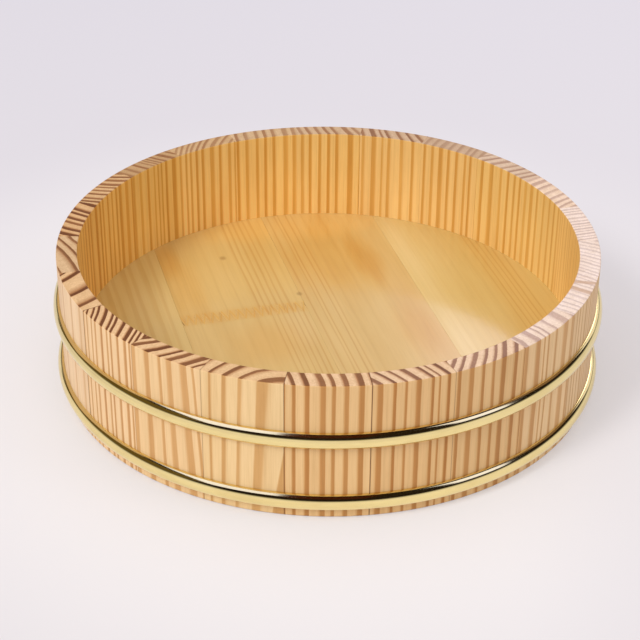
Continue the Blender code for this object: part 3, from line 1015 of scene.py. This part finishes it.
def moved_aside(path, distance):
    """The path shifted to its left by this distance, square to each stretch."""
    lines = []
    for (ax, ay), (bx, by) in zip(path, path[1:]):
        run = atan2(by - ay, bx - ax)
        lines.append((Vector((ax - distance * sin(run), ay + distance * cos(run))), run))
    moved = [lines[0][0]]
    for (first, run), (second, turned) in zip(lines, lines[1:]):
        between = second - first
        reach = (between.x * sin(turned) - between.y * cos(turned)) / sin(turned - run)
        moved.append(first + reach * Vector((cos(run), sin(run))))
    end, run = lines[-1]
    length = hypot(path[-1][0] - path[-2][0], path[-1][1] - path[-2][1])
    moved.append(end + length * Vector((cos(run), sin(run))))
    return [tuple(point) for point in moved]


def prism_mesh(name, corners, low, high):
    """An upright block over these (across, along) corners."""
    bm = bmesh.new()
    rows = [[bm.verts.new((across, along, height)) for across, along in corners] for height in (low, high)]
    skin(bm, rows)
    bm.faces.new(rows[0])
    bm.faces.new(rows[1])
    return finished(bm, name)


def finger_cutter(name, shift, far_side):
    """Everything of the bottom on one side of the finger joint, as a block."""
    reach = 2 * OUTER_RADIUS if far_side else -2 * OUTER_RADIUS
    path = moved_aside(finger_path(), shift)
    corners = path + [(path[-1][0], reach), (path[0][0], reach)]
    return added(name, prism_mesh(name, corners, -HEIGHT, HEIGHT))


def applied(mesh, cutter=None):
    """The mesh with the cutter taken away and its long edges softened."""
    holder = added("holder", mesh)
    if cutter:
        cut = holder.modifiers.new("cut", "BOOLEAN")
        cut.operation = "DIFFERENCE"
        cut.object = cutter
    soften = holder.modifiers.new("soften", "BEVEL")
    soften.width = BOARD_ROUNDING
    soften.segments = 2
    soften.limit_method = "ANGLE"
    soften.angle_limit = radians(40)
    bpy.context.view_layer.update()
    graph = bpy.context.evaluated_depsgraph_get()
    result = bpy.data.meshes.new_from_object(holder.evaluated_get(graph))
    result.set_sharp_from_angle(angle=radians(20))
    bpy.data.objects.remove(holder, do_unlink=True)
    return result


def make_boards():
    edges = [None, *BOARD_JOINTS, None]
    cutters = {
        "_far": finger_cutter("near_side", GLUE_GAP / 2, far_side=False),
        "_near": finger_cutter("far_side", -GLUE_GAP / 2, far_side=True),
    }
    seed = FIRST_BOARD_SEED
    for number, (left, right) in enumerate(zip(edges, edges[1:]), 1):
        for suffix in cutters if number == FINGER_JOINTED_BOARD_NUMBER else [""]:
            node = f"bottom_board_{number}{suffix}"
            mesh = applied(strip_mesh(node + "_form", left, right), cutters.get(suffix))
            material = board_material(node, BOARDS[node], seed)
            piece(node + "_pine", mesh, material, node, BOARD_TURN)
            seed += 1
    for cutter in cutters.values():
        bpy.data.objects.remove(cutter, do_unlink=True)


def make_glue():
    """The glue that shows as a zigzag in the finger joint."""
    left, right = BOARD_JOINTS[0] + BOARD_GAP, BOARD_JOINTS[1] - BOARD_GAP
    path = [(min(max(across, left), right), along) for across, along in finger_path()[2:-2]]
    half = GLUE_GAP / 2 - GLUE_CLEARANCE
    corners = moved_aside(path, half) + moved_aside(path, -half)[::-1]
    mesh = prism_mesh("glue_form", corners, TONGUE_UNDERSIDE, FLOOR_HEIGHT - JOINT_GAP / 2)
    mesh.materials.append(glue_material())
    glue = added("finger_joint_glue", mesh)
    glue.rotation_euler.z = BOARD_TURN
    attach(glue, "root")


def finish_pegs():
    """Gives the pegs, which are shown as they are in the solids, their bamboo."""
    material = bamboo_material()
    for name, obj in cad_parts.items():
        if "peg" not in name:
            continue
        if not obj.data.materials:
            obj.data.materials.append(material)
        for slot in obj.material_slots:
            slot.material = material


def paper_colours(nodes, x, y):
    """The paper's colour, with painted light in it.

    It darkens and cools far away and brightens to the right, and a painted pool of bounced light lies by the
    tub, halved on the right so that the shadow there stays deep.
    """
    colour = nodes.mix(nodes.ease(y, -0.45, 0.75), PAPER_NEAR, PAPER_FAR)
    # Painted light: brighter to the right
    colour = nodes.times(colour, nodes.ease(x, -0.4, 0.4, 0.975, 1.02))
    by_distance = nodes.ease(nodes.length(x, y), 0.15, 0.36, 1.0, 0.0)
    by_side = nodes.ease(x, 0.08, 0.18, 1.0, 0.5)
    near = nodes.product(by_distance, by_side)
    return nodes.tinted(colour, nodes.mix(near, PLAIN, PAPER_PAINTED_GLOW))


def paper_material():
    """White paper under the lamps, part of whose light is even, so that shadows on it stay pale."""
    nodes = Nodes("floor_paper")
    nodes.tree.nodes.remove(nodes.shader)
    x, y = nodes.parts(nodes.place())[:2]
    seen = paper_colours(nodes, x, y)
    lit = nodes.add("BsdfDiffuse", {"Color": nodes.tinted(seen, PAPER_IN_LAMPLIGHT)}).outputs[0]
    plain = nodes.add("Emission", {"Color": seen, "Strength": 1.0}).outputs[0]
    # Painted light in the paper's reflection: brighter in front of the tub than behind it
    level = nodes.ease(y, -0.30, 0.05, 1.12, 0.85)
    mirrored = nodes.add("Emission", {"Color": seen, "Strength": level}).outputs[0]
    rays = nodes.add("LightPath").outputs
    seen_share = nodes.product(rays["Is Camera Ray"], EVEN_SHARE)
    reflection = nodes.math("MAXIMUM", rays["Is Glossy Ray"], rays["Is Transmission Ray"])
    mirrored_share = nodes.product(reflection, MIRRORED_SHARE)
    surface = nodes.add("MixShader", {0: seen_share, 1: lit, 2: plain}).outputs[0]
    surface = nodes.add("MixShader", {0: mirrored_share, 1: surface, 2: mirrored}).outputs[0]
    nodes.feed(nodes.tree.nodes["Material Output"].inputs["Surface"], surface)
    return nodes.material


def make_floor():
    mesh = bpy.data.meshes.new("floor")
    half = PAPER_HALF_SIDE
    corners = [(-half, -half, 0), (half, -half, 0), (half, half, 0), (-half, half, 0)]
    mesh.from_pydata(corners, [], [range(4)])
    mesh.materials.append(paper_material())
    floor = added("floor", mesh)
    floor.location.z = -FLOOR_CLEARANCE


def direction_of(azimuth, elevation):
    """A unit vector: azimuth is counted from the front to the right, and elevation up from level."""
    return around(cos(radians(elevation)), radians(azimuth), sin(radians(elevation)))


def make_lamp(name, azimuth, elevation, roll, distance, width, height, brightness):
    """A soft box that faces the tub and doesn't show in polished surfaces."""
    light = bpy.data.lights.new(name, "AREA")
    light.shape = "RECTANGLE"
    light.size = width
    light.size_y = height
    light.energy = brightness * pi * width * height
    obj = added(name, light)
    obj.location = distance * direction_of(azimuth, elevation)
    facing = (-obj.location).to_track_quat("-Z", "Y").to_matrix()
    obj.rotation_euler = (facing @ Matrix.Rotation(radians(roll), 3, "Z")).to_euler()
    obj.visible_glossy = False


def patch_cover(nodes, direction, azimuth, elevation, roll, half_width, half_height):
    """1 towards a flat rectangle that faces the tub, and 0 past its edges."""
    middle = direction_of(azimuth, elevation)
    level = Vector((0, 0, 1)).cross(middle).normalized()
    upright = middle.cross(level)
    turn = Matrix.Rotation(radians(roll), 3, middle)
    ahead, sideways, above = (
        nodes.add("VectorMath", {0: direction, 1: tuple(way)}, operation="DOT_PRODUCT").outputs["Value"]
        for way in (middle, turn @ level, turn @ upright)
    )
    inside = nodes.ease(ahead, 0.05, 0.10)
    for part, half in ((sideways, half_width), (above, half_height)):
        place = nodes.math("ABSOLUTE", nodes.math("DIVIDE", part, ahead))
        within = nodes.ease(place, half - PATCH_BLUR, half + PATCH_BLUR, 1.0, 0.0)
        inside = nodes.product(inside, within)
    return inside


def make_world():
    """Soft light from all round. Polished surfaces see a dark room with patches in its place."""
    world = bpy.data.worlds.new("studio")
    bpy.context.scene.world = world
    nodes = Nodes("studio", world)
    direction = nodes.add("TexCoord").outputs["Generated"]
    y, z = nodes.parts(direction)[1:]
    soft = nodes.mix(nodes.ease(y, -1.0, 1.0, 1.0, 0.0), LIGHT_BEHIND, LIGHT_IN_FRONT)
    soft = nodes.mix(nodes.ease(z, 0.0, 0.95), soft, LIGHT_ABOVE)
    room = nodes.mix(nodes.ease(z, -0.04, 0.31), PALE_WALL, DARK_WALL)
    for *patch, colour in PATCHES:
        room = nodes.mix(patch_cover(nodes, direction, *patch), room, colour)
    glossy = nodes.add("LightPath").outputs["Is Glossy Ray"]
    nodes.feed(nodes.shader.inputs["Color"], nodes.mix(glossy, soft, room))
    nodes.shader.inputs["Strength"].default_value = 1.0


def make_camera():
    data = bpy.data.cameras.new("camera")
    data.lens = CAMERA_LENS
    data.sensor_width = CAMERA_SENSOR
    camera = added("camera", data)
    place = Vector(CAMERA_PLACE)
    look = (Vector(CAMERA_AIM) - place).to_track_quat("-Z", "Y").to_matrix().to_4x4()
    camera.matrix_world = Matrix.Translation(place) @ look @ Matrix.Rotation(CAMERA_ROLL, 4, "Z")
    bpy.context.scene.camera = camera


def main():
    make_camera()
    make_staves()
    make_boards()
    make_glue()
    make_hoops()
    finish_pegs()
    make_floor()
    make_world()
    for lamp in LAMPS:
        make_lamp(*lamp)
    bpy.context.scene.view_settings.view_transform = "Standard"


main()
